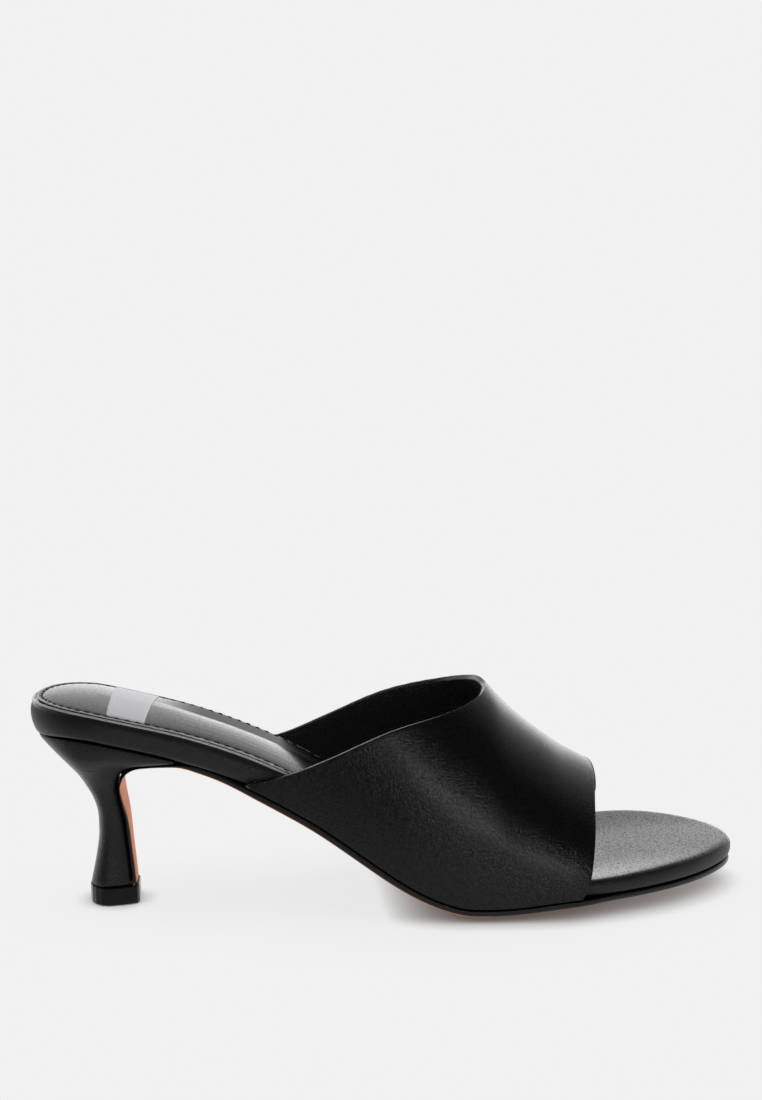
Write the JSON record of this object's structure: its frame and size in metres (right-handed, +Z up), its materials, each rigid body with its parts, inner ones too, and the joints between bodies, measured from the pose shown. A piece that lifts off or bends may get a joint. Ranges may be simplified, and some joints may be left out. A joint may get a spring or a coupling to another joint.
{
  "type": "kitten heel mule",
  "caption": "Open-toed slip-on mule with a slender waisted heel, a thick wrapped footbed with a padded sock, and one wide band over the instep. Right shoe.",
  "frame": {"origin": "on the floor, under the middle of the heel's top piece", "axes": "+X forward to the toe, +Y to the inner side of the foot, +Z up"},
  "size_m": [0.2344, 0.0802, 0.0716],
  "materials": {
    "top_piece": "smooth black, glossy",
    "heel": "thin black leather drawn over the heel, satin",
    "outsole": "natural tan sole leather, its edge painted black",
    "footbed": "black wrapped leather, satin",
    "sock": "padded black lining leather, semi-gloss",
    "upper": "smooth black leather with a fine grain, satin"
  },
  "bodies": {
    "root": {"top_piece": "top_piece", "heel": "heel", "outsole": "outsole", "footbed": "footbed", "sock": "sock", "upper": "upper"}
  },
  "joints": []
}
